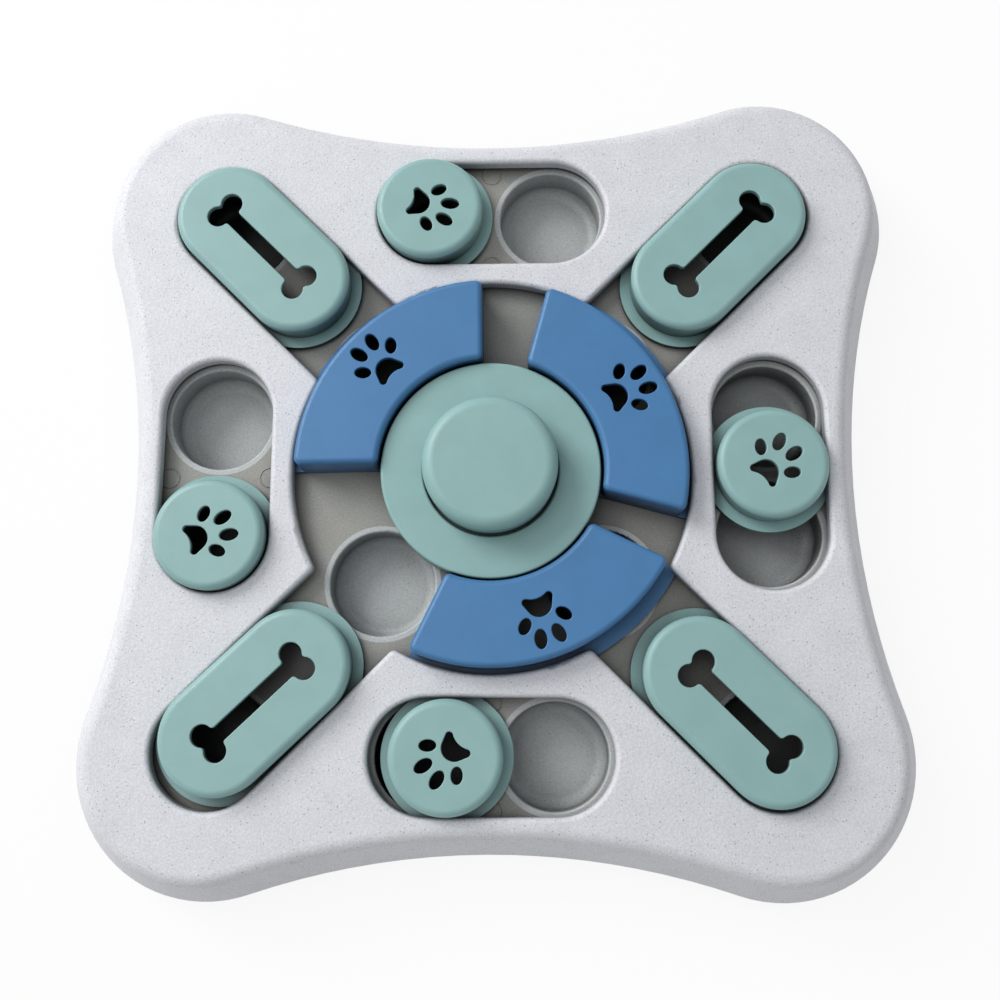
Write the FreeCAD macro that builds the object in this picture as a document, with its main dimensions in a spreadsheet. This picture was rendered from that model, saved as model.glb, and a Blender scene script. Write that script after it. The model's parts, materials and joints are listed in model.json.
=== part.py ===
import FreeCAD, Part
import math
import os
import Sketcher

# A puzzle feeder: a tray full of cups under a lobed cover, with sliders held between the two.
# Millimetres. Z is up, the table is Z = 0 and the origin is under the middle of the toy.

SIZES = [
    # outline of the toy, seen from above
    ("cover_span", 250.8),
    ("waist_half", 112.0),
    ("lobe_radius", 41.0),
    # heights above the table
    ("rim_height", 1.5),
    ("parting_height", 7.0),
    ("belly_height", 9.5),
    ("deck_height", 18.0),
    ("slider_room", 2.5),
    ("cover_plate", 4.0),
    ("deck_plate", 2.0),
    # walls
    ("cover_wall", 2.4),
    ("tray_wall", 2.0),
    ("rim_inset", 0.6),
    ("rim_round", 1.5),
    ("slider_wall", 1.8),
    ("case_clearance", 0.3),
    ("shoulder_lean", 24.0),
    ("shoulder_round", 4.5),
    ("belly_round", 1.5),
    ("lip_round", 1.5),
    # openings of the cover
    ("slot_distance", 83.5),
    ("slot_radius", 16.8),
    ("slot_half", 18.9),
    ("channel_end", 116.0),
    ("ring_radius", 60.0),
    ("cusp_round", 2.0),
    # cups
    ("cup_radius", 15.8),
    ("cup_depth", 12.5),
    ("cup_round", 3.5),
    ("cup_wall", 1.8),
    ("cup_rim_round", 0.6),
    ("slot_cup_offset", 18.45),
    ("ring_cup_distance", 46.4),
    ("corner_cup_distance", 113.0),
    # sliders
    ("flange_height", 2.0),
    ("flange_reach", 3.35),
    ("slide_clearance", 0.25),
    ("neck_clearance", 0.8),
    ("slider_rise", 5.0),
    ("slider_draft", 3.2),
    ("slider_round", 2.2),
    ("bone_half", 15.0),
    # fans, in the ring
    ("fan_rise", 7.5),
    ("fan_gap", 1.6),
    ("fan_inner", 33.5),
    ("fan_flange_out", 4.2),
    ("fan_flange_in", 3.0),
    ("fan_side_inset", 2.0),
    ("fan_corner", 2.0),
    ("fan_top_round", 1.6),
    # hub cap, button and squeaker
    ("hub_radius", 32.8),
    ("hub_rise", 4.3),
    ("hub_plate", 2.2),
    ("hub_wall", 1.8),
    ("hub_post_circle", 26.2),
    ("post_radius", 2.9),
    ("button_radius", 19.1),
    ("button_gap", 0.9),
    ("button_rise", 11.5),
    ("button_round", 3.6),
    ("button_flange", 2.0),
    ("button_travel", 3.0),
    ("bulb_radius", 12.5),
    ("bulb_seat", 1.5),
    # fasteners and feet
    ("boss_radius", 4.5),
    ("boss_across", 58.0),
    ("boss_out", 102.0),
    ("screw_radius", 1.5),
    ("screw_clearance", 0.25),
    ("screw_head_radius", 2.8),
    ("screw_head_height", 2.0),
    ("screw_bite", 4.5),
    ("boss_depth", 6.0),
    ("post_root", 0.5),
    ("foot_radius", 9.0),
    # paw cut-out, measured from the middle of its slider toward the toes
    ("toe_front_along", 5.9),
    ("toe_front_side", 2.75),
    ("toe_front_lean", 13.0),
    ("toe_front_length", 5.7),
    ("toe_front_width", 3.6),
    ("toe_rear_along", 1.1),
    ("toe_rear_side", 5.9),
    ("toe_rear_lean", 43.0),
    ("toe_rear_length", 5.0),
    ("toe_rear_width", 3.4),
    ("pad_front_along", -3.8),
    ("pad_front_round", 3.8),
    ("heel_along", -5.2),
    ("heel_side", 3.5),
    ("heel_round", 1.1),
    ("heel_hollow", 6.0),
    ("hole_edge_round", 0.3),
    # bone cut-out
    ("bone_hole_half", 16.9),
    ("knuckle_radius", 3.3),
    ("knuckle_side", 2.9),
    ("bone_bar_half", 2.4),
    ("bone_notch_round", 1.0),
]

WORKED_OUT = [
    ("lobe_offset", "cover_span / 2 - lobe_radius"),
    ("waist_rise", "waist_half - lobe_offset"),
    ("waist_radius", "(lobe_offset^2 + waist_rise^2 - lobe_radius^2) / (2 * (lobe_radius - waist_rise))"),
    ("cover_under", "deck_height + slider_room"),
    ("cover_top", "cover_under + cover_plate"),
    ("tray_inset", "cover_wall + 2 * case_clearance + (deck_height - belly_height) * tan(shoulder_lean)"),
    ("hollow_inset", "tray_inset + tray_wall"),
    ("land_inset", "(cover_top - belly_height) * tan(shoulder_lean) + shoulder_round * tan(45 - shoulder_lean / 2)"),
    ("deck_under", "deck_height - deck_plate"),
    ("flange_under", "deck_height + slide_clearance"),
    ("neck_radius", "slot_radius - neck_clearance"),
    ("flange_radius", "neck_radius + flange_reach"),
    ("fan_outer", "ring_radius - fan_gap"),
    ("hub_top", "cover_top + hub_rise"),
    ("hub_under", "hub_top - hub_plate"),
    ("hub_skirt", "flange_under + flange_height + slide_clearance"),
    ("button_top", "hub_top + button_rise"),
    ("cup_floor", "deck_height - cup_depth"),
    ("cup_under", "cup_floor - cup_wall"),
]

# Where each slider stands: how far along its slot from the middle of the slot
KNOBS = {
    "knob_north": {"turn": 0.0, "along": -19.1, "paw": -19.0},
    "knob_west": {"turn": 90.0, "along": -19.1, "paw": 22.0},
    "knob_south": {"turn": 180.0, "along": 12.9, "paw": 225.0},
    "knob_east": {"turn": 270.0, "along": -1.3, "paw": 49.0},
}
# How far each bone's middle is from the middle of the toy; one bone sits a little askew
BONES = {
    "bone_north_west": {"turn": 135.0, "out": 100.1, "lean": 0.0},
    "bone_north_east": {"turn": 45.0, "out": 99.0, "lean": 0.0},
    "bone_south_west": {"turn": 225.0, "out": 96.1, "lean": -1.6},
    "bone_south_east": {"turn": 315.0, "out": 99.9, "lean": 0.0},
}
# Which way the middle of each fan points
FANS = {
    "fan_north_west": 135.75,
    "fan_north_east": 29.8,
    "fan_south": -71.0,
}

doc = FreeCAD.newDocument("puzzle_feeder")
sheet = doc.addObject("Spreadsheet::Sheet", "Dimensions")
# A second sheet that nothing else depends on, so that working a sum out touches no piece
sums = doc.addObject("Spreadsheet::Sheet", "Sums")


def fill_sheet():
    """Write every driving size, then the sizes worked out from them."""
    row = 0
    for name, value in SIZES:
        row += 1
        sheet.set(f"A{row}", name)
        sheet.set(f"B{row}", str(value))
        sheet.setAlias(f"B{row}", name)
    doc.recompute()
    for name, formula in WORKED_OUT:
        row += 1
        sheet.set(f"A{row}", name)
        sheet.set(f"B{row}", "=" + formula)
        sheet.setAlias(f"B{row}", name)
    doc.recompute()


fill_sheet()


def size(name):
    """The value of one named size."""
    return float(sheet.get(name))


def cells(formula):
    """Turn a formula in plain size names into one that points at the sheet."""
    names = sorted([n for n, _ in SIZES] + [n for n, _ in WORKED_OUT], key=len, reverse=True)
    words = []
    word = ""
    for letter in formula + " ":
        if letter.isalnum() or letter == "_":
            word += letter
            continue
        words.append("Dimensions." + word if word in names else word)
        words.append(letter)
        word = ""
    return "".join(words).strip()


def worth(formula):
    """The number that a formula in plain size names stands for."""
    sums.set("A1", "=" + cells(formula))
    sums.recompute()
    return float(sums.get("A1"))


# Sketches


def new_body(label):
    """An empty body whose label names its file."""
    body = doc.addObject("PartDesign::Body", label)
    body.Label = label
    return body


def new_sketch(body, height, turn=0.0, shift_x=None, shift_y=None):
    """A sketch on the body's ground plane, lifted to a height given as a formula."""
    sketch = body.newObject("Sketcher::SketchObject", body.Name + "_sketch")
    plane = [f for f in body.Origin.OriginFeatures if f.Role == "XY_Plane"][0]
    sketch.AttachmentSupport = [(plane, "")]
    sketch.MapMode = "FlatFace"
    rotation = FreeCAD.Rotation(FreeCAD.Vector(0, 0, 1), turn)
    sketch.AttachmentOffset = FreeCAD.Placement(FreeCAD.Vector(0, 0, worth(height)), rotation)
    sketch.setExpression("AttachmentOffset.Base.z", cells(height))
    if shift_x:
        sketch.setExpression("AttachmentOffset.Base.x", cells(shift_x))
    if shift_y:
        sketch.setExpression("AttachmentOffset.Base.y", cells(shift_y))
    return sketch


def hold(sketch, kind, where, formula):
    """A dimension of the sketch, bound to a formula."""
    index = sketch.addConstraint(Sketcher.Constraint(kind, *where, worth(formula)))
    sketch.setExpression(f"Constraints[{index}]", cells(formula))


def point(x, y):
    return FreeCAD.Vector(x, y, 0)


def arc(cx, cy, radius, start, end):
    """An arc drawn anticlockwise between two angles in degrees."""
    circle = Part.Circle(point(cx, cy), FreeCAD.Vector(0, 0, 1), radius)
    return Part.ArcOfCircle(circle, math.radians(start), math.radians(end))


def draw_circle(sketch, radius, across="0", up="0"):
    """A circle held by its centre and radius."""
    centre = point(worth(across), worth(up))
    circle = sketch.addGeometry(Part.Circle(centre, FreeCAD.Vector(0, 0, 1), worth(radius)))
    hold(sketch, "Radius", (circle,), radius)
    hold(sketch, "DistanceX", (-1, 1, circle, 3), across)
    hold(sketch, "DistanceY", (-1, 1, circle, 3), up)


def draw_stadium(sketch, half, radius):
    """Two half circles joined by straight sides, along the sketch's X axis."""
    reach = worth(half)
    width = worth(radius)
    right = sketch.addGeometry(arc(reach, 0, width, -90, 90))
    top = sketch.addGeometry(Part.LineSegment(point(reach, width), point(-reach, width)))
    left = sketch.addGeometry(arc(-reach, 0, width, 90, 270))
    bottom = sketch.addGeometry(Part.LineSegment(point(-reach, -width), point(reach, -width)))
    for one, two in ((right, top), (top, left), (left, bottom), (bottom, right)):
        sketch.addConstraint(Sketcher.Constraint("Tangent", one, 2, two, 1))
    for end, side in ((right, ""), (left, "-")):
        hold(sketch, "Radius", (end,), radius)
        sketch.addConstraint(Sketcher.Constraint("PointOnObject", end, 3, -1))
        hold(sketch, "DistanceX", (-1, 1, end, 3), f"{side}({half})")


def draw_outline(sketch, inset):
    """The four-lobed outline: a convex arc at each corner and a shallow hollow arc between."""
    offset = size("lobe_offset")
    lobe = worth(f"lobe_radius - {inset}")
    waist = worth(f"waist_radius + {inset}")
    hollow_centre = size("waist_half") + size("waist_radius")
    lean = math.degrees(math.atan2(hollow_centre - offset, offset))
    lobes = []
    waists = []
    for quarter in range(4):
        turn = 90.0 * quarter
        corner = FreeCAD.Rotation(FreeCAD.Vector(0, 0, 1), turn).multVec(point(offset, offset))
        far = FreeCAD.Rotation(FreeCAD.Vector(0, 0, 1), turn).multVec(point(0, hollow_centre))
        lobes.append(sketch.addGeometry(
            arc(corner.x, corner.y, lobe, turn + lean - 90, turn + 180 - lean)))
        waists.append(sketch.addGeometry(
            arc(far.x, far.y, waist, turn + 180 + lean, turn + 360 - lean)))
    for quarter in range(4):
        after = (quarter + 1) % 4
        sketch.addConstraint(Sketcher.Constraint("Tangent", lobes[quarter], 2, waists[quarter], 2))
        sketch.addConstraint(Sketcher.Constraint("Tangent", waists[quarter], 1, lobes[after], 1))
        side = "" if quarter in (0, 3) else "-"
        rise = "" if quarter in (0, 1) else "-"
        hold(sketch, "Radius", (lobes[quarter],), f"lobe_radius - {inset}")
        hold(sketch, "Radius", (waists[quarter],), f"waist_radius + {inset}")
        hold(sketch, "DistanceX", (-1, 1, lobes[quarter], 3), f"{side}lobe_offset")
        hold(sketch, "DistanceY", (-1, 1, lobes[quarter], 3), f"{rise}lobe_offset")


def draw_sector(sketch, inner, outer, side):
    """A quarter of a ring around the X axis, its straight sides moved in by a fixed amount."""
    rings = []
    for radius in (outer, inner):
        rise = f"(sqrt(({radius})^2 - ({side})^2) - ({side})) * sqrt(0.5)"
        lean = math.degrees(math.asin(worth(rise) / worth(radius)))
        ring = sketch.addGeometry(arc(0, 0, worth(radius), -lean, lean))
        sketch.addConstraint(Sketcher.Constraint("Coincident", ring, 3, -1, 1))
        hold(sketch, "Radius", (ring,), radius)
        hold(sketch, "DistanceY", (-1, 1, ring, 2), rise)
        hold(sketch, "DistanceY", (ring, 1, -1, 1), rise)
        rings.append(ring)
    geometry = sketch.Geometry
    for end in (1, 2):
        spots = [(geometry[ring].StartPoint, geometry[ring].EndPoint)[end - 1] for ring in rings]
        line = sketch.addGeometry(Part.LineSegment(spots[0], spots[1]))
        sketch.addConstraint(Sketcher.Constraint("Coincident", rings[0], end, line, 1))
        sketch.addConstraint(Sketcher.Constraint("Coincident", line, 2, rings[1], end))


# Features


def pad(body, sketch, length, draft=None):
    """Raise the sketch by a length; a draft leans its sides in (out, for the lobed outline)."""
    feature = body.newObject("PartDesign::Pad", body.Name + "_pad")
    feature.Profile = sketch
    feature.Length = worth(length)
    feature.setExpression("Length", cells(length))
    if draft:
        feature.setExpression("TaperAngle", cells(draft))
    sketch.Visibility = False
    body.Tip = feature
    doc.recompute()
    return feature


def pocket(body, sketch, depth, upward=False, draft=None):
    """Cut the sketch down, or up, by a depth; a negative draft makes it narrower as it goes in."""
    feature = body.newObject("PartDesign::Pocket", body.Name + "_pocket")
    feature.Profile = sketch
    feature.Length = worth(depth)
    feature.setExpression("Length", cells(depth))
    feature.Reversed = upward
    if draft:
        feature.setExpression("TaperAngle", cells(draft))
    body.Tip = feature
    doc.recompute()
    return feature


def round_edges(body, choose, radius):
    """Fillet the edges that a test picks from the body as it stands."""
    base = body.Tip
    names = [f"Edge{i + 1}" for i, edge in enumerate(base.Shape.Edges) if choose(edge)]
    feature = body.newObject("PartDesign::Fillet", body.Name + "_round")
    feature.Base = (base, names)
    feature.Radius = worth(radius)
    feature.setExpression("Radius", cells(radius))
    body.Tip = feature
    doc.recompute()
    return feature


def level_at(edge, height):
    """True where the whole edge lies at one height."""
    return abs(edge.BoundBox.ZMin - height) < 0.01 and abs(edge.BoundBox.ZMax - height) < 0.01


def upright(edge):
    """True for a straight edge that stands on end."""
    box = edge.BoundBox
    return box.ZLength > 0.5 and box.XLength < 0.01 and box.YLength < 0.01


def farthest(edge):
    """The distance of the edge's farthest end or middle from the Z axis."""
    middle = edge.valueAt((edge.FirstParameter + edge.LastParameter) / 2)
    spots = [vertex.Point for vertex in edge.Vertexes] + [middle]
    return max(math.hypot(spot.x, spot.y) for spot in spots)


def draw_paw(sketch):
    """A paw that points along X: four oval toes around the front of one three-cornered pad."""
    for row in ("front", "rear"):
        for hand in (1, -1):
            centre = point(size(f"toe_{row}_along"), hand * size(f"toe_{row}_side"))
            turned = FreeCAD.Rotation(FreeCAD.Vector(0, 0, 1), hand * size(f"toe_{row}_lean"))
            tip = centre + turned.multVec(point(size(f"toe_{row}_length") / 2, 0))
            flank = centre + turned.multVec(point(0, size(f"toe_{row}_width") / 2))
            sketch.addGeometry(Part.Ellipse(tip, flank, centre))
    draw_paw_pad(sketch)


def draw_paw_pad(sketch):
    """The pad: a wide front arc, a round heel at each side and a hollow back."""
    front = size("pad_front_round")
    middle = size("pad_front_along")
    heel = size("heel_round")
    heel_spot = point(size("heel_along"), size("heel_side"))
    reach = math.hypot(heel_spot.x - middle, heel_spot.y)
    lean = math.degrees(math.atan2(heel_spot.y, heel_spot.x - middle))
    touch = lean - math.degrees(math.acos((front - heel) / reach))
    away = point(math.cos(math.radians(touch)), math.sin(math.radians(touch)))
    start = point(middle, 0) + away * front
    end = heel_spot + away * heel
    hollow = size("heel_hollow")
    hollow_middle = heel_spot.x - math.sqrt((hollow + heel) ** 2 - heel_spot.y ** 2)
    toward = math.degrees(math.atan2(heel_spot.y, heel_spot.x - hollow_middle))
    sketch.addGeometry(arc(middle, 0, front, -touch, touch))
    sketch.addGeometry(Part.LineSegment(start, end))
    sketch.addGeometry(arc(heel_spot.x, heel_spot.y, heel, touch, 180 + toward))
    sketch.addGeometry(arc(hollow_middle, 0, hollow, -toward, toward))
    sketch.addGeometry(arc(heel_spot.x, -heel_spot.y, heel, 180 - toward, 360 - touch))
    sketch.addGeometry(Part.LineSegment(point(end.x, -end.y), point(start.x, -start.y)))


def draw_bone(sketch):
    """A bone along X: a straight bar with two overlapping round knuckles at each end."""
    lobe = size("knuckle_radius")
    side = size("knuckle_side")
    bar = size("bone_bar_half")
    half = size("bone_hole_half")
    notch = math.degrees(math.asin(side / lobe))
    root = math.degrees(math.asin((side - bar) / lobe))
    inner = half - lobe * math.cos(math.radians(root))
    for turn in (0, 180):
        turned = FreeCAD.Rotation(FreeCAD.Vector(0, 0, 1), turn)
        upper = turned.multVec(point(half, side))
        lower = turned.multVec(point(half, -side))
        sketch.addGeometry(arc(upper.x, upper.y, lobe, turn - notch, turn + 180 + root))
        sketch.addGeometry(arc(lower.x, lower.y, lobe, turn + 180 - root, turn + 360 + notch))
        ends = [turned.multVec(point(along, bar)) for along in (inner, -inner)]
        sketch.addGeometry(Part.LineSegment(ends[0], ends[1]))


def round_hole(body, top):
    """Take the sharp edge off the cut-out in the top of a slider."""
    faces = [face for face in body.Tip.Shape.Faces if level_at(face, top)]
    outer = [edge.hashCode() for face in faces for edge in face.OuterWire.Edges]
    round_edges(body, lambda edge: level_at(edge, top) and edge.hashCode() not in outer, "hole_edge_round")


# The pieces


def make_cover():
    """The lobed top shell with its ring, four channels and four slots."""
    body = new_body("top_cover")
    outline = new_sketch(body, "belly_height")
    draw_outline(outline, "0")
    pad(body, outline, "cover_top - belly_height", "-shoulder_lean")
    round_edges(body, lambda edge: level_at(edge, size("cover_top")), "shoulder_round")
    skirt = new_sketch(body, "parting_height")
    draw_outline(skirt, "0")
    pad(body, skirt, "belly_height - parting_height")
    round_edges(body, lambda edge: level_at(edge, size("belly_height")), "belly_round")
    lower = new_sketch(body, "parting_height")
    draw_outline(lower, "cover_wall")
    pocket(body, lower, "belly_height - parting_height", upward=True)
    upper = new_sketch(body, "belly_height")
    draw_outline(upper, "cover_wall")
    pocket(body, upper, "cover_under - belly_height", upward=True, draft="-shoulder_lean")
    add_cover_posts(body)
    ring = new_sketch(body, "cover_top + 1")
    draw_circle(ring, "ring_radius")
    pocket(body, ring, "cover_top + 1 - parting_height")
    for turn in (45.0, 135.0):
        channel = new_sketch(body, "cover_top + 1", turn)
        draw_stadium(channel, "channel_end", "slot_radius")
        pocket(body, channel, "cover_top + 1 - parting_height")
    for turn in (0.0, 90.0, 180.0, 270.0):
        slot = new_slot_sketch(body, "cover_top + 1", turn)
        draw_stadium(slot, "slot_half", "slot_radius")
        pocket(body, slot, "cover_top + 1 - parting_height")
    cusp_reach = size("ring_radius") + 1
    round_edges(body, lambda edge: upright(edge) and farthest(edge) < cusp_reach
                and edge.BoundBox.ZMax > size("cover_top") - 0.01, "cusp_round")
    round_edges(body, lambda edge: level_at(edge, size("cover_top"))
                and not on_shoulder(edge), "lip_round")
    return body


def on_shoulder(edge):
    """True for the line where the flat top meets the rounded shoulder."""
    middle = edge.valueAt((edge.FirstParameter + edge.LastParameter) / 2)
    inset = size("land_inset")
    for x, y in ((abs(middle.x), abs(middle.y)), (abs(middle.y), abs(middle.x))):
        corner = math.hypot(x - size("lobe_offset"), y - size("lobe_offset"))
        hollow = math.hypot(x, y - size("waist_half") - size("waist_radius"))
        if abs(corner - size("lobe_radius") + inset) < 0.05:
            return True
        if abs(hollow - size("waist_radius") - inset) < 0.05:
            return True
    return False


def new_slot_sketch(body, height, turn):
    """A sketch in the middle of the slot that a turn brings up, its X axis along the slot."""
    shifts = {0.0: (None, "slot_distance"), 90.0: ("-slot_distance", None),
              180.0: (None, "-slot_distance"), 270.0: ("slot_distance", None)}
    shift_x, shift_y = shifts[turn]
    return new_sketch(body, height, turn, shift_x, shift_y)


def case_screw_places():
    """Formulas for the eight screws of the case, two beside the end of each lobe."""
    places = []
    for way in ("", "-"):
        for side in ("", "-"):
            places.append((f"{side}boss_across", f"{way}boss_out"))
            places.append((f"{way}boss_out", f"{side}boss_across"))
    return places


def hub_screw_places():
    """Formulas for the three screws of the hub cap."""
    return [(f"hub_post_circle * cos({turn})", f"hub_post_circle * sin({turn})") for turn in (90, 210, 330)]


def circles(body, height, radius, places):
    """One sketch with a circle at each place."""
    sketch = new_sketch(body, height)
    for across, up in places:
        draw_circle(sketch, radius, across, up)
    return sketch


def add_cover_posts(body):
    """Short posts under the cover that stand on the deck and take the screws."""
    places = case_screw_places()
    pad(body, circles(body, "deck_height", "boss_radius", places), "slider_room + post_root")
    pocket(body, circles(body, "deck_height", "screw_radius", places), "screw_bite", upward=True)


def cup_places():
    """Formulas for the centre of every cup: eight in the slots, four in the ring, four at the corners."""
    places = []
    for way in ("", "-"):
        for side in ("", "-"):
            places.append((f"{side}slot_cup_offset", f"{way}slot_distance"))
            places.append((f"{way}slot_distance", f"{side}slot_cup_offset"))
            for reach in ("ring_cup_distance", "corner_cup_distance"):
                places.append((f"{side}{reach} * sqrt(0.5)", f"{way}{reach} * sqrt(0.5)"))
    return places


def make_tray():
    """The lower shell: side wall, deck with sixteen round holes for the cups, and the screw posts."""
    body = new_body("cup_tray")
    foot = new_sketch(body, "rim_height")
    draw_outline(foot, "rim_inset")
    pad(body, foot, "parting_height - rim_height - case_clearance")
    round_edges(body, lambda edge: level_at(edge, size("rim_height")), "rim_round")
    step = new_sketch(body, "rim_height")
    draw_outline(step, "tray_inset")
    pad(body, step, "deck_height - rim_height")
    lower = new_sketch(body, "rim_height")
    draw_outline(lower, "rim_inset + tray_wall")
    pocket(body, lower, "parting_height - rim_height - tray_wall", upward=True)
    upper = new_sketch(body, "rim_height")
    draw_outline(upper, "hollow_inset")
    pocket(body, upper, "deck_under - rim_height", upward=True)
    cups = cup_places()
    screws = case_screw_places() + hub_screw_places()
    pad(body, circles(body, "deck_under - boss_depth", "boss_radius", screws), "boss_depth + deck_plate")
    seat = new_sketch(body, "deck_height")
    draw_circle(seat, "bulb_radius + bulb_seat + case_clearance")
    draw_circle(seat, "bulb_radius + case_clearance")
    pad(body, seat, "bulb_seat")
    pocket(body, circles(body, "deck_height", "cup_radius + cup_wall", cups), "deck_plate")
    holes = circles(body, "deck_height", "screw_radius + screw_clearance", screws)
    pocket(body, holes, "deck_plate + boss_depth")
    return body


def make_cups():
    """The sixteen cups of the tray's moulding, as one group of bowls that fill its holes."""
    cup = new_body("one_cup")
    wall = new_sketch(cup, "cup_under")
    draw_circle(wall, "cup_radius + cup_wall")
    pad(cup, wall, "deck_height - cup_under")
    room = new_sketch(cup, "deck_height")
    draw_circle(room, "cup_radius")
    pocket(cup, room, "cup_depth")
    round_edges(cup, lambda edge: level_at(edge, size("cup_floor")), "cup_round")
    outer = size("cup_radius") + size("cup_wall")
    round_edges(cup, lambda edge: level_at(edge, size("deck_height")) and farthest(edge) < outer - 0.1,
                "cup_rim_round")
    bowls = []
    for across, up in cup_places():
        bowl = cup.Shape.copy()
        bowl.translate(point(worth(across), worth(up)))
        bowls.append(bowl)
    group = doc.addObject("Part::Feature", "treat_cups")
    group.Label = "treat_cups"
    group.Shape = Part.makeCompound(bowls)
    group.Placement = FreeCAD.Placement()
    return group


def make_knob(label, spot):
    """A round slider: a cap on a hollow neck, with a flange that stays under the cover."""
    body = new_body(label)
    flange = new_sketch(body, "flange_under")
    draw_circle(flange, "flange_radius")
    pad(body, flange, "flange_height")
    neck = new_sketch(body, "flange_under")
    draw_circle(neck, "neck_radius")
    pad(body, neck, "cover_top + slider_rise - flange_under", "slider_draft")
    top = worth("cover_top + slider_rise")
    round_edges(body, lambda edge: level_at(edge, top), "slider_round")
    hollow = new_sketch(body, "flange_under")
    draw_circle(hollow, "neck_radius - slider_wall")
    pocket(body, hollow, "cover_top + slider_rise - flange_under - slider_wall", upward=True)
    paw = new_sketch(body, "cover_top + slider_rise + 1", spot["paw"] - spot["turn"])
    draw_paw(paw)
    pocket(body, paw, "slider_wall + 2")
    round_hole(body, top)
    turn = FreeCAD.Rotation(FreeCAD.Vector(0, 0, 1), spot["turn"])
    base = turn.multVec(point(spot["along"], size("slot_distance")))
    body.Placement = FreeCAD.Placement(base, turn)
    return body


def make_bone(label, spot):
    """A long slider for a channel: a hollow capsule with a bone-shaped hole and a flange."""
    body = new_body(label)
    flange = new_sketch(body, "flange_under")
    draw_stadium(flange, "bone_half", "flange_radius")
    pad(body, flange, "flange_height")
    neck = new_sketch(body, "flange_under")
    draw_stadium(neck, "bone_half", "neck_radius")
    pad(body, neck, "cover_top + slider_rise - flange_under", "slider_draft")
    top = worth("cover_top + slider_rise")
    round_edges(body, lambda edge: level_at(edge, top), "slider_round")
    hollow = new_sketch(body, "flange_under")
    draw_stadium(hollow, "bone_half", "neck_radius - slider_wall")
    pocket(body, hollow, "cover_top + slider_rise - flange_under - slider_wall", upward=True)
    bone = new_sketch(body, "cover_top + slider_rise + 1")
    draw_bone(bone)
    pocket(body, bone, "slider_wall + 2")
    round_edges(body, lambda edge: upright(edge) and abs(edge.Vertexes[0].Y) < size("knuckle_side") * 2,
                "bone_notch_round")
    round_hole(body, top)
    along = FreeCAD.Rotation(FreeCAD.Vector(0, 0, 1), spot["turn"])
    turn = FreeCAD.Rotation(FreeCAD.Vector(0, 0, 1), spot["turn"] + spot["lean"])
    body.Placement = FreeCAD.Placement(along.multVec(point(spot["out"], 0)), turn)
    return body


def make_fan(label, turn):
    """A quarter-ring slider with flanges along its outer and inner sides."""
    body = new_body(label)
    flange = new_sketch(body, "flange_under")
    draw_sector(flange, "fan_inner - fan_flange_in", "fan_outer + fan_flange_out", "fan_side_inset")
    pad(body, flange, "flange_height")
    wall = new_sketch(body, "flange_under")
    draw_sector(wall, "fan_inner", "fan_outer", "fan_side_inset")
    pad(body, wall, "cover_top + fan_rise - flange_under")
    top = worth("cover_top + fan_rise")
    round_edges(body, lambda edge: upright(edge) and edge.BoundBox.ZMax > top - 0.01, "fan_corner")
    round_edges(body, lambda edge: level_at(edge, top), "fan_top_round")
    hollow = new_sketch(body, "flange_under")
    draw_sector(hollow, "fan_inner + slider_wall", "fan_outer - slider_wall",
                "fan_side_inset + slider_wall")
    pocket(body, hollow, "cover_top + fan_rise - flange_under - slider_wall", upward=True)
    paw = new_sketch(body, "cover_top + fan_rise + 1", 0.0, "(fan_inner + fan_outer) / 2 + 0.5")
    draw_paw(paw)
    pocket(body, paw, "slider_wall + 2")
    round_hole(body, top)
    body.Placement = FreeCAD.Placement(point(0, 0), FreeCAD.Rotation(FreeCAD.Vector(0, 0, 1), turn))
    return body


def make_hub_cap():
    """The round cap in the middle that holds the fans down and the button in."""
    body = new_body("hub_cap")
    disc = new_sketch(body, "hub_skirt")
    draw_circle(disc, "hub_radius")
    pad(body, disc, "hub_top - hub_skirt")
    round_edges(body, lambda edge: level_at(edge, size("hub_top")), "0.8")
    hollow = new_sketch(body, "hub_skirt")
    draw_circle(hollow, "hub_radius - hub_wall")
    pocket(body, hollow, "hub_under - hub_skirt", upward=True)
    places = hub_screw_places()
    pad(body, circles(body, "deck_height", "post_radius", places), "hub_under - deck_height + post_root")
    pocket(body, circles(body, "deck_height", "screw_radius", places), "screw_bite", upward=True)
    hole = new_sketch(body, "hub_top + 1")
    draw_circle(hole, "button_radius + button_gap")
    pocket(body, hole, "hub_plate + 2")
    rim = worth("button_radius + button_gap")
    round_edges(body, lambda edge: level_at(edge, size("hub_top")) and farthest(edge) < rim + 0.1, "0.8")
    return body


def make_button():
    """The press button: a hollow dome-edged cap whose flange stops under the hub cap."""
    body = new_body("squeak_button")
    bottom = "hub_under - button_flange - slide_clearance"
    flange = new_sketch(body, bottom)
    draw_circle(flange, "button_radius + button_gap + 1.6")
    pad(body, flange, "button_flange")
    cap = new_sketch(body, bottom)
    draw_circle(cap, "button_radius")
    pad(body, cap, f"button_top - ({bottom})", "slider_draft")
    round_edges(body, lambda edge: level_at(edge, size("button_top")), "button_round")
    hollow = new_sketch(body, bottom)
    draw_circle(hollow, "button_radius - hub_wall - 1")
    pocket(body, hollow, f"button_top - ({bottom}) - hub_plate", upward=True)
    return body


def make_bulb():
    """The rubber squeaker under the button, drawn at the height it has when pressed."""
    body = doc.addObject("PartDesign::Body", "squeaker_bulb")
    body.Label = "squeaker_bulb"
    top = "button_top - hub_plate - button_travel - slide_clearance - 0.1"
    base = new_sketch(body, "deck_height")
    draw_circle(base, "bulb_radius")
    pad(body, base, f"({top} - deck_height) / 2")
    crown = new_sketch(body, f"deck_height + ({top} - deck_height) / 2")
    draw_circle(crown, "bulb_radius - 2.5")
    pad(body, crown, f"({top} - deck_height) / 2", "slider_draft")
    round_edges(body, lambda edge: level_at(edge, worth(top)), "3")
    return body


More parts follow.
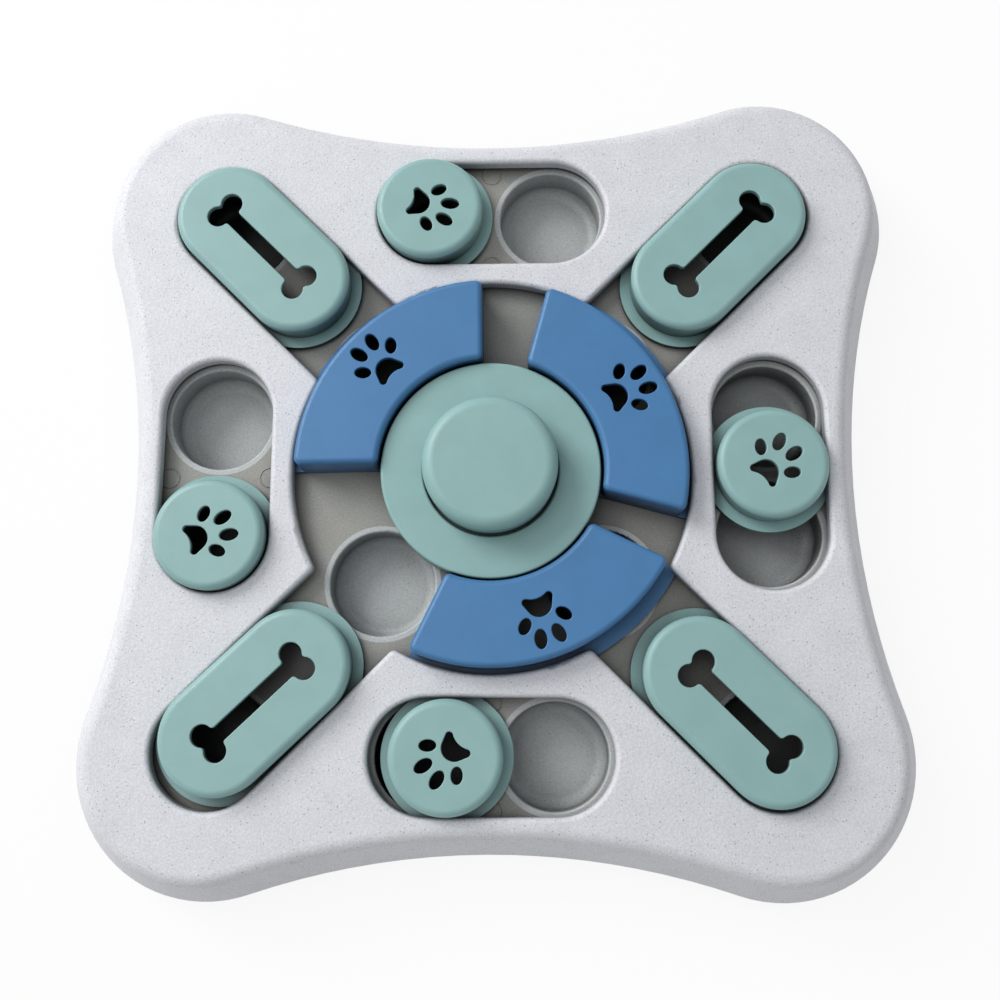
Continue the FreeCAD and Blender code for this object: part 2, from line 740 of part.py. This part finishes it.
def make_screws(label, places):
    """Round-headed screws driven up through the tray, as one group of solids."""
    screws = []
    length = worth("deck_plate + boss_depth + screw_bite - 0.5")
    seat = worth("deck_under - boss_depth")
    for across, up in places:
        spot = point(worth(across), worth(up))
        shank = Part.makeCylinder(size("screw_radius") - 0.02, length, spot + FreeCAD.Vector(0, 0, seat))
        head_low = spot + FreeCAD.Vector(0, 0, seat - size("screw_head_height"))
        head = Part.makeCylinder(size("screw_head_radius"), size("screw_head_height"), head_low)
        cross = [Part.makeBox(3.2, 0.8, 1.0, head_low + FreeCAD.Vector(-1.6, -0.4, 0)),
                 Part.makeBox(0.8, 3.2, 1.0, head_low + FreeCAD.Vector(-0.4, -1.6, 0))]
        screws.append(head.fuse(shank).removeSplitter().cut(cross[0]).cut(cross[1]))
    group = doc.addObject("Part::Feature", label)
    group.Label = label
    group.Shape = Part.makeCompound(screws)
    group.Placement = FreeCAD.Placement()
    return group


def make_foot(label, turn):
    """A rubber pad stuck under a corner cup."""
    body = new_body(label)
    disc = new_sketch(body, "0")
    draw_circle(disc, "foot_radius")
    pad(body, disc, "cup_under")
    round_edges(body, lambda edge: level_at(edge, 0), "0.8")
    rotation = FreeCAD.Rotation(FreeCAD.Vector(0, 0, 1), turn)
    body.Placement = FreeCAD.Placement(rotation.multVec(point(size("corner_cup_distance"), 0)), rotation)
    return body


def make_all():
    """Every piece of the toy."""
    pieces = [make_cover(), make_tray(), make_cups(), make_hub_cap(), make_button(), make_bulb()]
    for label, spot in KNOBS.items():
        pieces.append(make_knob(label, spot))
    for label, spot in BONES.items():
        pieces.append(make_bone(label, spot))
    for label, turn in FANS.items():
        pieces.append(make_fan(label, turn))
    for label, turn in (("foot_north_east", 45), ("foot_north_west", 135),
                        ("foot_south_west", 225), ("foot_south_east", 315)):
        pieces.append(make_foot(label, turn))
    pieces.append(make_screws("case_screws", case_screw_places()))
    pieces.append(make_screws("hub_screws", hub_screw_places()))
    return pieces


def write_all(pieces):
    """Check each piece and write it to its own file."""
    doc.recompute()
    for item in doc.Objects:
        if "Invalid" in item.State or "Error" in item.State:
            raise ValueError(f"{item.Name} did not build")
    os.makedirs("parts", exist_ok=True)
    for piece in pieces:
        shape = piece.Shape
        if shape.isNull() or not shape.isValid():
            raise ValueError(f"{piece.Label} is not a sound solid")
        print(piece.Label, "solids", len(shape.Solids), "volume", round(shape.Volume))
        shape.exportStep(f"parts/{piece.Label}.step")


write_all(make_all())
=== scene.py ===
# %% [markdown]
# A puzzle feeder for dogs, seen almost from above. Treats lie in cups under knobs, bones and
# fans that the dog pushes aside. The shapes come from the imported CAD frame, where every piece is
# already in its place, so this file is about how the moulded plastic looks.

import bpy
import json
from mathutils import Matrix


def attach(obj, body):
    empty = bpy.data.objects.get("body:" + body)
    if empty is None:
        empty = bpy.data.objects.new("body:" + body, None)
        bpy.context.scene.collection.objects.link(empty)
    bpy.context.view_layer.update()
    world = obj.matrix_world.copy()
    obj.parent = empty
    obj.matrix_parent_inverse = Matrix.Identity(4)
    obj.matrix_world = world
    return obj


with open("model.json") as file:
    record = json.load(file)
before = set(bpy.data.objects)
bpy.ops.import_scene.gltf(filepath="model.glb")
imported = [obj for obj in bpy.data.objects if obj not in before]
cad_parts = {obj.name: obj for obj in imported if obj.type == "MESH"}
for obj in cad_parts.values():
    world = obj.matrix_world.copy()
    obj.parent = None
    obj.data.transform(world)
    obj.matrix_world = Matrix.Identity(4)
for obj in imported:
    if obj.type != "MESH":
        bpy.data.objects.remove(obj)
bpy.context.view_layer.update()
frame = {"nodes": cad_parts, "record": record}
print("loaded", len(frame["nodes"]), "CAD nodes")

import json
import math

import bpy
from mathutils import Matrix, Vector

MM = 0.001
scene = bpy.context.scene
nodes = frame["nodes"]


# %% [markdown]
# Colours are written as sRGB hex, the way a swatch is read off a picture. Blender mixes light in
# linear values, so one function turns the one into the other.

# %% Colours
def linear(hex_code):
    """An sRGB hex colour as linear red, green, blue and alpha."""
    channels = [int(hex_code[i:i + 2], 16) / 255 for i in (1, 3, 5)]
    bent = [c / 12.92 if c <= 0.04045 else ((c + 0.055) / 1.055) ** 2.4 for c in channels]
    return (*bent, 1.0)


COVER_GREY = "#D4D5D9"
TRAY_GREY = "#95958F"
CUP_GREY = "#B4B8B8"
SPECK_DARK = "#85848A"
SPECK_BROWN = "#AAA49C"
MINT = "#8BB0AE"
BLUE = "#4479AA"
SQUEAKER_CREAM = "#C9C4B4"
FOOT_BLACK = "#2B2C2F"
SCREW_ZINC = "#B9BBBD"
print("mint is", [round(c, 3) for c in linear(MINT)])


# %% [markdown]
# Every material is a small tree of nodes. One helper adds a node: its settings are attributes of
# the node, and each input gets either a plain value or the output of another node. That keeps a
# tree readable as a list of steps.

# %% Helper for shader trees
def add(tree, kind, settings=None, **inputs):
    """Add a node, set its attributes, then fill or link its inputs by name."""
    made = tree.nodes.new(kind)
    for name, value in (settings or {}).items():
        setattr(made, name, value)
    for name, value in inputs.items():
        key = int(name[1:]) if name[0] == "n" and name[1:].isdigit() else name.replace("_", " ")
        if isinstance(value, bpy.types.NodeSocket):
            tree.links.new(value, made.inputs[key])
        else:
            made.inputs[key].default_value = value
    return made


def new_material(name):
    """An empty material, with its tree and the object coordinates that its patterns follow."""
    material = bpy.data.materials.new(name)
    material.use_nodes = True
    material.node_tree.nodes.clear()
    tree = material.node_tree
    place = add(tree, "ShaderNodeTexCoord").outputs["Object"]
    return material, tree, place


def per_metre(millimetres):
    """The texture scale that makes one cell of a pattern this wide."""
    return 1 / (millimetres * MM)


# %% [markdown]
# The cover and the tray are moulded in polypropylene with ground filler in it, which leaves fine
# dark specks under the surface. A Voronoi texture drops one point in each cell: where a pixel is
# near that point, and the cell's random colour picks it, a speck shows. Two such layers, one
# fine and dark and one coarse and brown, look like the mixed grit of the real plastic. Inside the
# cups and under the sliders little light gets in, and the last function here paints that shade
# into the colour: it darkens the colour there, by the share of the air above that other pieces
# leave open.

# %% Specks, grain and shaded hollows
# How far, in mm, another surface counts as shutting a point in.
CREVICE_REACH = 60.0

# For the painted shade of each plastic: the open share at which it is darkest, the open share at
# which it keeps its colour, and the share of its colour that is left at the darkest.
COVER_CREVICE = (0.05, 0.55, 0.25)
TRAY_CREVICE = (0.0, 0.55, 0.06)
CUP_CREVICE = (0.1, 0.36, 0.02)
SLIDER_CREVICE = (0.12, 0.55, 0.06)

# A noise texture seldom leaves this band, so the band is what gets spread over the range.
NOISE_LOW = 0.3
NOISE_HIGH = 0.7
PLASTIC_IOR = 1.49


def speck_layer(tree, place, cell, radius, share):
    """A mask of round specks: cell width and speck radius in mm, and the share of cells that have one."""
    cells = add(tree, "ShaderNodeTexVoronoi", {"feature": "F1"}, Vector=place, Scale=per_metre(cell))
    near = add(tree, "ShaderNodeMath", {"operation": "LESS_THAN"},
               n0=cells.outputs["Distance"], n1=radius / cell)
    chance = add(tree, "ShaderNodeSeparateColor", Color=cells.outputs["Color"])
    picked = add(tree, "ShaderNodeMath", {"operation": "LESS_THAN"},
                 n0=chance.outputs["Red"], n1=share)
    both = add(tree, "ShaderNodeMath", {"operation": "MULTIPLY"},
               n0=near.outputs[0], n1=picked.outputs[0])
    return both.outputs[0]


def scale_colour(tree, colour, factor):
    """The colour, made lighter or darker by a factor from another node."""
    scaled = add(tree, "ShaderNodeVectorMath", {"operation": "SCALE"}, n0=colour, Scale=factor)
    return scaled.outputs[0]


def mottle(tree, place, colour, width, depth, detail=3.0):
    """A colour that drifts a little lighter and darker over patches of this width in mm."""
    patches = add(tree, "ShaderNodeTexNoise", Vector=place, Scale=per_metre(width), Detail=detail)
    drift = add(tree, "ShaderNodeMapRange", {"clamp": True}, Value=patches.outputs["Fac"],
                n1=NOISE_LOW, n2=NOISE_HIGH, n3=1.0 - depth, n4=1.0 + depth)
    return scale_colour(tree, colour, drift.outputs[0])


def blend_colour(tree, mask, under, over):
    """The under colour, with the over colour where the mask is one."""
    mixed = add(tree, "ShaderNodeMix", {"data_type": "RGBA"}, n0=mask, n6=under, n7=over)
    return mixed.outputs[2]


def shade_crevices(tree, colour, shut, opened, darkest):
    """Paint shade into the colour: darken it where other surfaces shut it in.

    Shut and opened are shares of open air, as a point sees it. At opened and above it keeps its
    colour; at shut and below it is down to its darkest share.
    """
    hollow = add(tree, "ShaderNodeAmbientOcclusion", {"samples": 8}, Distance=CREVICE_REACH * MM)
    kept = add(tree, "ShaderNodeMapRange", {"clamp": True}, Value=hollow.outputs["AO"],
               n1=shut, n2=opened, n3=darkest, n4=1.0)
    return scale_colour(tree, colour, kept.outputs[0])


def grain(tree, place, width, height, strength):
    """A fine pebbled relief: grain width and height in mm."""
    pebbles = add(tree, "ShaderNodeTexNoise", Vector=place, Scale=per_metre(width), Detail=2.0,
                  Roughness=0.55)
    bump = add(tree, "ShaderNodeBump", Height=pebbles.outputs["Fac"], Distance=height * MM,
               Strength=strength)
    return bump.outputs[0]


def finish_plastic(tree, colour, normal, roughness):
    """The plastic shader that ends each of these trees."""
    shader = add(tree, "ShaderNodeBsdfPrincipled", Base_Color=colour, Normal=normal, Roughness=roughness,
                 IOR=PLASTIC_IOR)
    add(tree, "ShaderNodeOutputMaterial", Surface=shader.outputs[0])
    return shader


# %% Filled polypropylene of the cover and the tray
def filled_polypropylene(name, colour, pebble_height, crevice):
    """Pale moulded plastic with grit in it; the pebbled skin spreads every highlight."""
    material, tree, place = new_material(name)
    patchy = mottle(tree, place, linear(colour)[:3], width=9.0, depth=0.03)
    gritty = mottle(tree, place, patchy, width=0.6, depth=0.09, detail=1.0)
    coarse = speck_layer(tree, place, cell=1.9, radius=0.24, share=0.16)
    brown = blend_colour(tree, coarse, gritty, linear(SPECK_BROWN))
    fine = speck_layer(tree, place, cell=0.95, radius=0.15, share=0.30)
    dark = blend_colour(tree, fine, brown, linear(SPECK_DARK))
    # Painted shade: the colour is darkened where other pieces shut the surface in, as in the cups and under
    # the sliders.
    shaded = shade_crevices(tree, dark, *crevice)
    skin = grain(tree, place, width=0.8, height=pebble_height, strength=1.0)
    finish_plastic(tree, shaded, skin, roughness=0.5)
    return material


# %% [markdown]
# The sliders are solid-coloured ABS from a spark-eroded mould: an even satin with hardly any
# grain. A dog's toy gets rubbed, so a stretched noise adds hairline scuffs that only change the
# roughness. They show where a highlight passes and nowhere else.

# %% Satin ABS of the sliders, the hub and the button
SCUFF_STRETCH = (1.0, 7.0, 1.0)
SCUFF_TURN = (0.0, 0.0, 0.6)
SCUFF_WIDTH = 5.0
GLOSSIEST = 0.38
DULLEST = 0.5


def satin_abs(name, colour):
    """Even satin plastic with faint mottling and hairline scuffs."""
    material, tree, place = new_material(name)
    patchy = mottle(tree, place, linear(colour)[:3], width=9.0, depth=0.035)
    # Painted shade: the colour is darkened where other pieces shut the surface in, as in the holes and on
    # the flanges.
    base = shade_crevices(tree, patchy, *SLIDER_CREVICE)
    skin = grain(tree, place, width=0.6, height=0.03, strength=0.5)
    stretched = add(tree, "ShaderNodeMapping", Vector=place, Scale=SCUFF_STRETCH, Rotation=SCUFF_TURN)
    scuffs = add(tree, "ShaderNodeTexNoise", Vector=stretched.outputs[0],
                 Scale=per_metre(SCUFF_WIDTH), Detail=6.0)
    worn = add(tree, "ShaderNodeMapRange", {"clamp": True}, Value=scuffs.outputs["Fac"],
               n1=0.35, n2=0.7, n3=GLOSSIEST, n4=DULLEST)
    finish_plastic(tree, base, skin, roughness=worn.outputs[0])
    return material


# %% [markdown]
# The parts out of sight are plain stock: a soft latex squeaker, black rubber feet that grip the
# floor with a fine texture, and zinc-plated screws, which are bright but slightly cloudy.

# %% Rubber and zinc
def moulded_rubber(name, colour, width):
    """Matt rubber with a grainy skin."""
    material, tree, place = new_material(name)
    base = mottle(tree, place, linear(colour)[:3], width=6.0, depth=0.05)
    skin = grain(tree, place, width, height=0.06, strength=0.7)
    finish_plastic(tree, base, skin, roughness=0.75)
    return material


def zinc_plate(name):
    """Zinc on steel: metal with a cloudy, faintly uneven shine."""
    material, tree, place = new_material(name)
    base = mottle(tree, place, linear(SCREW_ZINC)[:3], width=1.5, depth=0.06)
    skin = grain(tree, place, width=0.3, height=0.01, strength=0.4)
    shader = finish_plastic(tree, base, skin, roughness=0.32)
    shader.inputs["Metallic"].default_value = 1.0
    return material


# %% [markdown]
# Each node gets the finish that its slot in the record names. The cups are the same plastic as the
# tray, but in the photograph they look a little lighter and smoother than the deck around them, so
# they get a finish of their own.

# %% Give every node its material
finishes = {
    "speckled_cover": filled_polypropylene("filled_polypropylene_cover", COVER_GREY, 0.11, COVER_CREVICE),
    "grey_tray": filled_polypropylene("filled_polypropylene_tray", TRAY_GREY, 0.07, TRAY_CREVICE),
    "mint_slider": satin_abs("satin_abs_mint", MINT),
    "blue_fan": satin_abs("satin_abs_blue", BLUE),
    "squeaker_rubber": moulded_rubber("latex_squeaker", SQUEAKER_CREAM, 0.8),
    "foot_rubber": moulded_rubber("black_foot_rubber", FOOT_BLACK, 0.5),
    "screw_steel": zinc_plate("zinc_plated_steel"),
}
finishes["mint_hub"] = finishes["mint_slider"]


def paint(node, material):
    """Put one material on a CAD node through its object's slot, so the mesh stays as it is."""
    if not node.material_slots:
        node.data.materials.append(None)
    for slot in node.material_slots:
        slot.link = "OBJECT"
        slot.material = material


for part in frame["record"]["subparts"]:
    paint(nodes[part["node"]], finishes[part["material_slot"]])
paint(nodes["treat_cups"], filled_polypropylene("filled_polypropylene_cups", CUP_GREY, 0.05, CUP_CREVICE))

# %% [markdown]
# Ejector pins push the tray out of its mould and each leaves a thin ring on the deck. Two lie
# halfway along each slot, partly under the cover. A ring is the same everywhere, so Geometry
# Nodes draws one, puts it on a point at each place and makes the result one plain mesh. The
# rings stand 0.2 mm proud, so the slider flanges, 0.25 mm above the deck, still clear them.

# %% Ejector marks on the deck, sizes in mm
DECK_HEIGHT = 18.0
SLOT_DISTANCE = 83.5
MARK_ACROSS = 15.4
MARK_RADIUS = 3.0
MARK_WIRE = 0.2


def mark_places():
    """The middle of every ejector mark: two beside the middle of each slot, in mm."""
    places = []
    for quarter in range(4):
        turned = Matrix.Rotation(math.radians(90 * quarter), 3, "Z")
        for side in (-1, 1):
            places.append(turned @ Vector((0, SLOT_DISTANCE + side * MARK_ACROSS, DECK_HEIGHT)))
    return places


def ring_tree(material):
    """A Geometry Nodes tree that puts one thin ring on every point of the mesh it gets."""
    tree = bpy.data.node_groups.new("ejector_rings", "GeometryNodeTree")
    tree.interface.new_socket("Points", in_out="INPUT", socket_type="NodeSocketGeometry")
    sockets = {}
    for name in ("Ring radius", "Wire radius"):
        sockets[name] = tree.interface.new_socket(name, in_out="INPUT", socket_type="NodeSocketFloat")
    tree.interface.new_socket("Rings", in_out="OUTPUT", socket_type="NodeSocketGeometry")
    inside = tree.nodes.new("NodeGroupInput")
    ring = add(tree, "GeometryNodeCurvePrimitiveCircle", Resolution=48, Radius=inside.outputs["Ring radius"])
    wire = add(tree, "GeometryNodeCurvePrimitiveCircle", Resolution=8, Radius=inside.outputs["Wire radius"])
    tube = add(tree, "GeometryNodeCurveToMesh", n0=ring.outputs[0], Profile_Curve=wire.outputs[0])
    spread = add(tree, "GeometryNodeInstanceOnPoints", Points=inside.outputs["Points"],
                 Instance=tube.outputs[0])
    real = add(tree, "GeometryNodeRealizeInstances", n0=spread.outputs[0])
    painted = add(tree, "GeometryNodeSetMaterial", n0=real.outputs[0], Material=material)
    outside = tree.nodes.new("NodeGroupOutput")
    tree.links.new(painted.outputs[0], outside.inputs[0])
    return tree, {name: socket.identifier for name, socket in sockets.items()}


def make_marks(material):
    """One plain mesh with all the rings, riding on the case."""
    points = bpy.data.meshes.new("mark_points")
    points.from_pydata([place * MM for place in mark_places()], [], [])
    source = bpy.data.objects.new("mark_points", points)
    scene.collection.objects.link(source)
    tree, inputs = ring_tree(material)
    modifier = source.modifiers.new("rings", "NODES")
    modifier.node_group = tree
    modifier[inputs["Ring radius"]] = MARK_RADIUS * MM
    modifier[inputs["Wire radius"]] = MARK_WIRE * MM
    ready = source.evaluated_get(bpy.context.evaluated_depsgraph_get())
    mesh = bpy.data.meshes.new_from_object(ready)
    bpy.data.objects.remove(source)
    marks = bpy.data.objects.new("ejector_marks", mesh)
    scene.collection.objects.link(marks)
    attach(marks, "case")
    return marks


marks = make_marks(finishes["grey_tray"])
print("ejector marks have", len(marks.data.polygons), "faces")

# %% [markdown]
# The toy stands on a white sweep. The floor is mostly light for the camera, so it photographs as
# white, and partly a plain diffuse surface, so the toy still throws a soft shadow on it.

# %% Floor
FLOOR_HALF = 3.0
PAPER_GREY = (0.85, 0.85, 0.85, 1.0)
PURE_WHITE = (1.0, 1.0, 1.0, 1.0)
GLOW_SHARE = 0.9


def white_floor():
    """A white floor that keeps a soft shadow."""
    material = bpy.data.materials.new("white_paper_sweep")
    material.use_nodes = True
    tree = material.node_tree
    tree.nodes.clear()
    paper = add(tree, "ShaderNodeBsdfDiffuse", Color=PAPER_GREY)
    glow = add(tree, "ShaderNodeEmission", Color=PURE_WHITE, Strength=1.0)
    rays = add(tree, "ShaderNodeLightPath")
    seen = add(tree, "ShaderNodeMath", {"operation": "MAXIMUM"},
               n0=rays.outputs["Is Camera Ray"], n1=rays.outputs["Is Glossy Ray"])
    share = add(tree, "ShaderNodeMath", {"operation": "MULTIPLY"}, n0=seen.outputs[0], n1=GLOW_SHARE)
    mixed = add(tree, "ShaderNodeMixShader", n0=share.outputs[0], n1=paper.outputs[0], n2=glow.outputs[0])
    add(tree, "ShaderNodeOutputMaterial", Surface=mixed.outputs[0])
    return material


bpy.ops.mesh.primitive_plane_add(size=2 * FLOOR_HALF, location=(0, 0, 0))
floor = bpy.context.object
floor.name = "floor"
floor.data.materials.append(white_floor())

# %% [markdown]
# A big soft lamp on the upper left does what the window did in the photograph: bright upper-left
# rims and short shadows to the lower right. A weaker one stands higher on the left, where it
# puts the pale sheen on the left side of the cover. The even world light fills the shadows.

# %% Light
WORLD_COLOUR = (0.95, 0.97, 1.0, 1.0)
WORLD_STRENGTH = 0.43

world = bpy.data.worlds.new("studio")
world.use_nodes = True
scene.world = world
world.node_tree.nodes["Background"].inputs["Color"].default_value = WORLD_COLOUR
world.node_tree.nodes["Background"].inputs["Strength"].default_value = WORLD_STRENGTH


def soft_lamp(name, place, width, watts):
    """A square area lamp that looks at the middle of the toy."""
    data = bpy.data.lights.new(name, "AREA")
    data.size = width
    data.energy = watts
    lamp = bpy.data.objects.new(name, data)
    lamp.location = place
    lamp.rotation_euler = (-Vector(place)).to_track_quat("-Z", "Y").to_euler()
    scene.collection.objects.link(lamp)
    return lamp


soft_lamp("window", place=(-1.0, 0.78, 0.9), width=0.8, watts=18.0)
soft_lamp("sky", place=(-0.6, 0.1, 1.35), width=1.0, watts=4.6)

# %% [markdown]
# The camera stands where the photographer did: almost straight above, a little nearer the
# lower edge, tipped eleven degrees. The numbers come from fitting the round cups and the slots,
# and the lens follows from the focal length in pixels of a square picture.

# %% Camera
CAMERA_PLACE = Vector((10.2, -72.4, 355.0)) * MM
CAMERA_PITCH = math.radians(10.92)
CAMERA_YAW = math.radians(1.31)
CAMERA_ROLL = math.radians(-0.06)
FOCAL_PIXELS = 1128.6
FRAME_PIXELS = 1000
SENSOR = 36.0

camera_data = bpy.data.cameras.new("camera")
camera_data.sensor_width = SENSOR
camera_data.lens = FOCAL_PIXELS * SENSOR / FRAME_PIXELS
camera = bpy.data.objects.new("camera", camera_data)
turn = (Matrix.Rotation(CAMERA_YAW, 4, "Y") @ Matrix.Rotation(CAMERA_PITCH, 4, "X")
        @ Matrix.Rotation(CAMERA_ROLL, 4, "Z"))
camera.matrix_world = Matrix.Translation(CAMERA_PLACE) @ turn
scene.collection.objects.link(camera)
scene.camera = camera
scene.view_settings.view_transform = "Standard"
